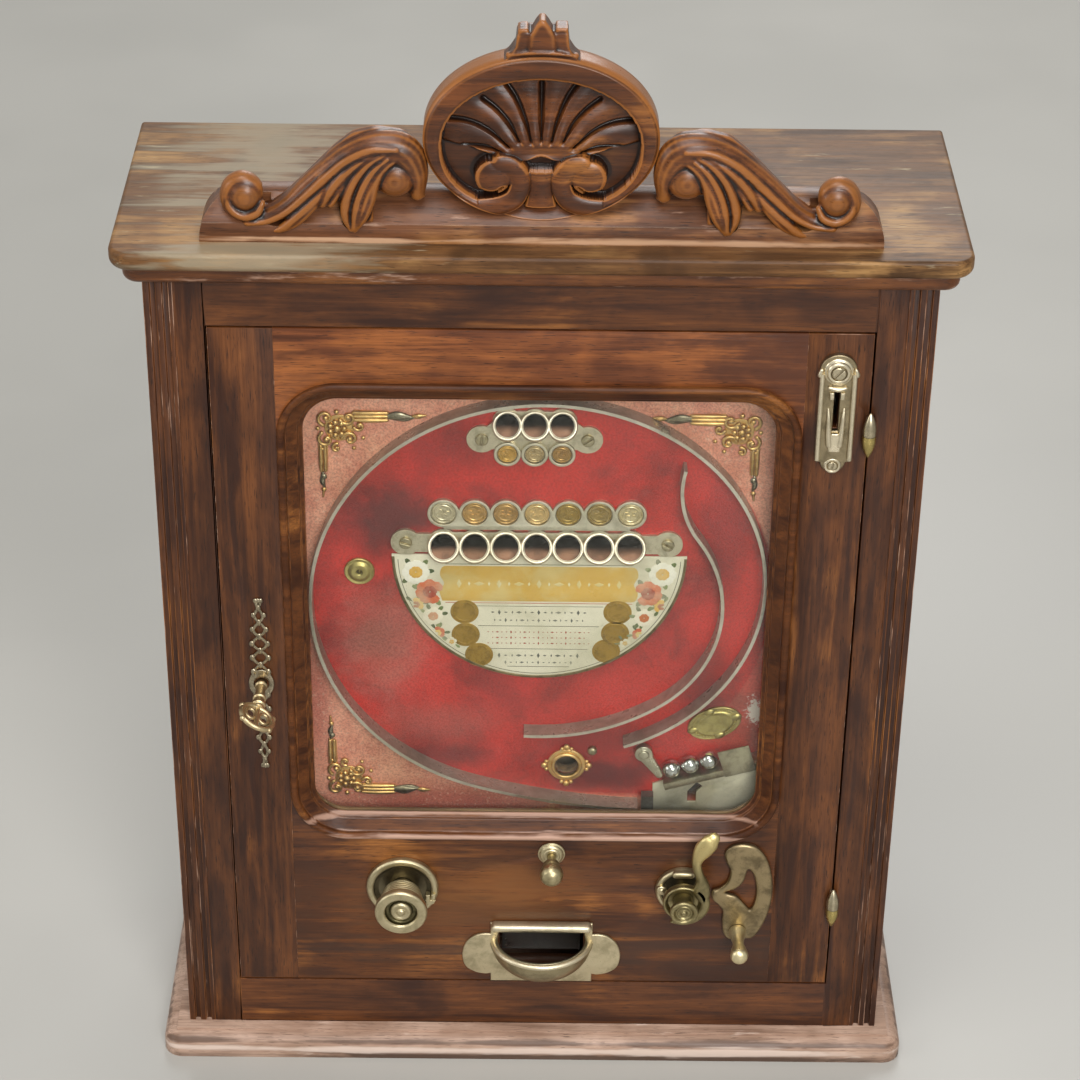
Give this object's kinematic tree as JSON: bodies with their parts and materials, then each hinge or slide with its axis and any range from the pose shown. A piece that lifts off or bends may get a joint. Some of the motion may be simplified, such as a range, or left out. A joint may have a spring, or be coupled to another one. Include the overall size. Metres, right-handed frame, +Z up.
{
  "type": "coin-operated pin game",
  "caption": "Wall-hung coin-operated ball game in a glazed walnut case: flick lever, spiral track, winning cups, payout knob, coin slot and carved shell crest.",
  "frame": {"origin": "middle of the underside of the base board", "axes": "+X to the right seen from the front, +Y to the back, towards the wall, +Z up"},
  "size_m": [0.516, 0.2234, 0.7678],
  "materials": {
    "walnut": "waxed, dark red-brown, worn on the arrises",
    "carved_walnut": "carved, dark wax in the hollows",
    "pine": "sawn, unfinished, aged",
    "red_paper": "embossed red paper, faded outside the track",
    "strip_steel": "rolled, dull",
    "spring_steel": "drawn wire",
    "ball_steel": "ground and polished",
    "tinplate": "tinned, dull",
    "nickel": "aged nickel plate",
    "gilt": "gilt brass, tarnished",
    "brass": "polished brass",
    "glass": "clear drawn glass"
  },
  "bodies": {
    "case": {"base_board": "walnut", "case_sides": "walnut", "corner_posts": "walnut", "face_frame": "walnut", "back_panel": "pine", "cornice_moulding": "walnut", "lid_board": "walnut", "crest_board": "carved_walnut", "shell_cartouche": "carved_walnut", "scroll_leaves": "carved_walnut", "playfield_battens": "pine", "playfield_board": "pine", "playfield_facing": "red_paper", "outer_track": "strip_steel", "inner_track": "strip_steel", "cup_plate_three": "nickel", "cup_plate_seven": "nickel", "token_strip": "gilt", "token_strip_small": "gilt", "prize_tokens": "gilt", "award_plaque": "gilt", "corner_ornaments": "gilt", "playfield_fittings": "gilt", "launcher_plate": "nickel", "ball_rail": "strip_steel", "ball_return_trough": "pine", "coin_chute": "tinplate", "coin_tube": "tinplate", "coin_slide_bed": "strip_steel", "delivery_chute": "tinplate", "lock_keeper": "strip_steel", "hinge_case_leaves": "brass", "playfield_screws": "strip_steel"},
    "door": {"hinge_door_leaves": "brass", "door_stiles": "walnut", "door_top_rail": "walnut", "door_apron": "walnut", "window_moulding": "walnut", "window_glass": "glass", "glazing_bead": "pine", "lock_case": "strip_steel", "lock_escutcheon": "nickel", "coin_entry_plate": "nickel", "control_flanges": "nickel", "payout_tray": "nickel", "finger_plate": "nickel", "finger_peg": "brass", "door_screws": "nickel", "lever_spring": "spring_steel"},
    "door_key": {"door_key": "brass"},
    "lock_bolt": {"lock_bolt": "strip_steel"},
    "payout_knob": {"payout_knob": "nickel", "payout_crank": "strip_steel"},
    "coin_slide": {"coin_slide": "strip_steel"},
    "ball_push": {"ball_push_knob": "nickel"},
    "ball_gate": {"ball_gate": "strip_steel"},
    "thumb_lever": {"thumb_lever": "brass", "hammer": "strip_steel"},
    "steel_balls": {"steel_balls": "ball_steel"},
    "cash_box": {"cash_box": "pine"}
  },
  "joints": [
    {"name": "door_hinge", "type": "hinge", "parent": "case", "child": "door", "pos_m": [0.2034, -0.08155, 0.3133], "axis": [0, 0, 1], "range_deg": [0, 110]},
    {"name": "key_turn", "type": "hinge", "parent": "door", "child": "door_key", "pos_m": [-0.179, -0.07695, 0.3063], "axis": [0, -1, 0], "range_deg": [0, 90]},
    {"name": "bolt_slide", "type": "slide", "parent": "door", "child": "lock_bolt", "axis": [-1, 0, 0], "range_m": [0, 0.009]},
    {"name": "payout_turn", "type": "hinge", "parent": "door", "child": "payout_knob", "pos_m": [-0.0894, -0.07695, 0.1398], "axis": [0, 1, 0], "range_deg": [0, 90], "stiffness_Nm_per_rad": 0.06, "springref_deg": -22.92},
    {"name": "coin_slide_travel", "type": "slide", "parent": "case", "child": "coin_slide", "axis": [-1, 0, 0], "range_m": [0, 0.026]},
    {"name": "ball_push_travel", "type": "slide", "parent": "door", "child": "ball_push", "axis": [0, 1, 0], "range_m": [0, 0.008], "stiffness_N_per_m": 60, "springref_m": -0.006},
    {"name": "gate_turn", "type": "hinge", "parent": "case", "child": "ball_gate", "pos_m": [0.0725, -0.07695, 0.2353], "axis": [0, 1, 0], "range_deg": [0, 25]},
    {"name": "lever_turn", "type": "hinge", "parent": "door", "child": "thumb_lever", "pos_m": [0.101, -0.07695, 0.1398], "axis": [0, 1, 0], "range_deg": [0, 26], "stiffness_Nm_per_rad": 0.3, "springref_deg": -28.65},
    {"name": "ball_roll", "type": "slide", "parent": "case", "child": "steel_balls", "axis": [0.9563, 0, 0.2924], "range_m": [0, 0.014]},
    {"name": "cash_box_lift", "type": "slide", "parent": "case", "child": "cash_box", "axis": [0, 0, 1], "range_m": [0, 0.012]}
  ],
  "couplings": [
    {"joint": "key_turn", "follows": "bolt_slide", "rad_per_m": 174.5},
    {"joint": "coin_slide_travel", "follows": "payout_turn", "m_per_rad": 0.016552},
    {"joint": "gate_turn", "follows": "ball_push_travel", "rad_per_m": 54.5}
  ]
}
